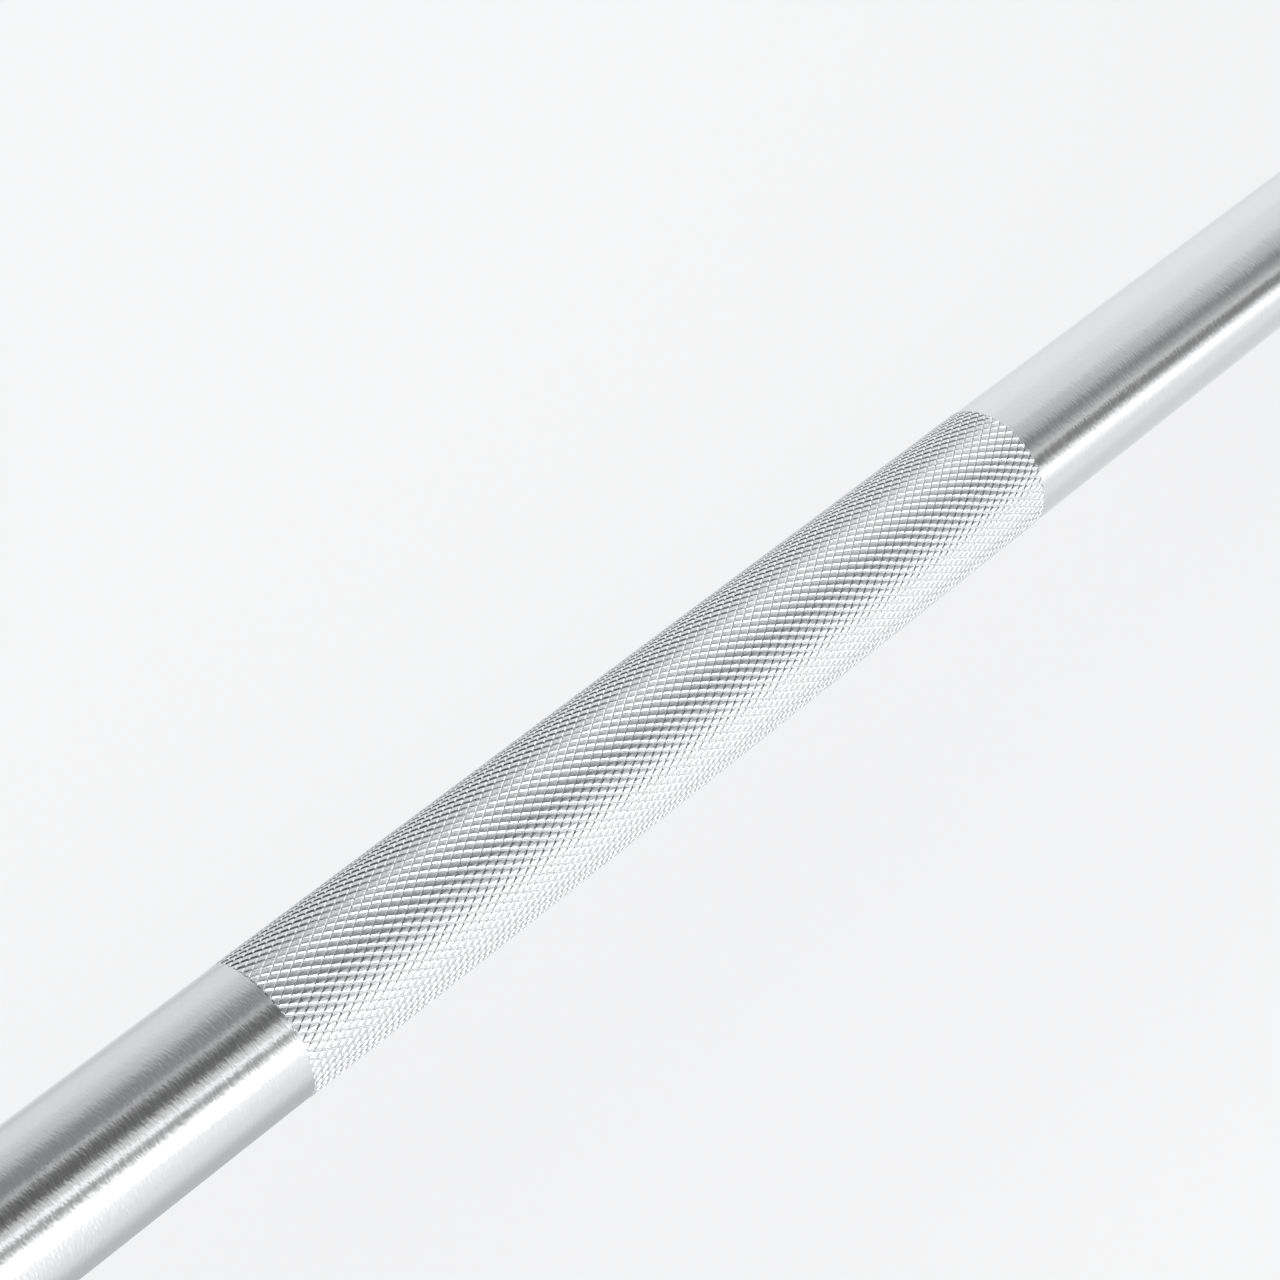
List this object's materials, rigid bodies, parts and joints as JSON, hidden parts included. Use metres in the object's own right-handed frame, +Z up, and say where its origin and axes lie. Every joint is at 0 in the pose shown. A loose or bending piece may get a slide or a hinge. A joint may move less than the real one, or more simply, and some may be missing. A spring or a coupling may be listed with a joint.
{
  "type": "fixed barbell",
  "caption": "Fixed barbell with a knurled chromed steel shaft and a bolted, rubber-cased, twelve-sided iron weight head on each end.",
  "frame": {"origin": "middle of the shaft on its axis, which is also the centre of the bounding box", "axes": "+X along the shaft to the right-hand head, +Z up when the barbell rests on a flat of each head"},
  "size_m": [1.1452, 0.176, 0.176],
  "materials": {
    "chromed_steel": "satin hard chrome, diamond knurl on the gripping bands",
    "bright_steel": "turned and bright plated",
    "cast_iron": "as cast, machined at the bore and the seats",
    "black_rubber": "moulded, fine matt grain",
    "zinc_steel": "zinc plated",
    "spring_steel": "oil blackened"
  },
  "bodies": {
    "root": {"shaft": "chromed_steel", "right_collar": "bright_steel", "right_spring_pin": "spring_steel", "right_drive_dowel_1": "bright_steel", "right_drive_dowel_2": "bright_steel", "right_weight_core": "cast_iron", "right_weight_casing": "black_rubber", "right_washer": "zinc_steel", "right_lock_washer": "spring_steel", "right_end_bolt": "zinc_steel", "right_end_cap": "chromed_steel", "right_cap_screw_1": "zinc_steel", "right_cap_screw_2": "zinc_steel", "right_cap_screw_3": "zinc_steel", "left_collar": "bright_steel", "left_spring_pin": "spring_steel", "left_drive_dowel_1": "bright_steel", "left_drive_dowel_2": "bright_steel", "left_weight_core": "cast_iron", "left_weight_casing": "black_rubber", "left_washer": "zinc_steel", "left_lock_washer": "spring_steel", "left_end_bolt": "zinc_steel", "left_end_cap": "chromed_steel", "left_cap_screw_1": "zinc_steel", "left_cap_screw_2": "zinc_steel", "left_cap_screw_3": "zinc_steel"}
  },
  "joints": []
}
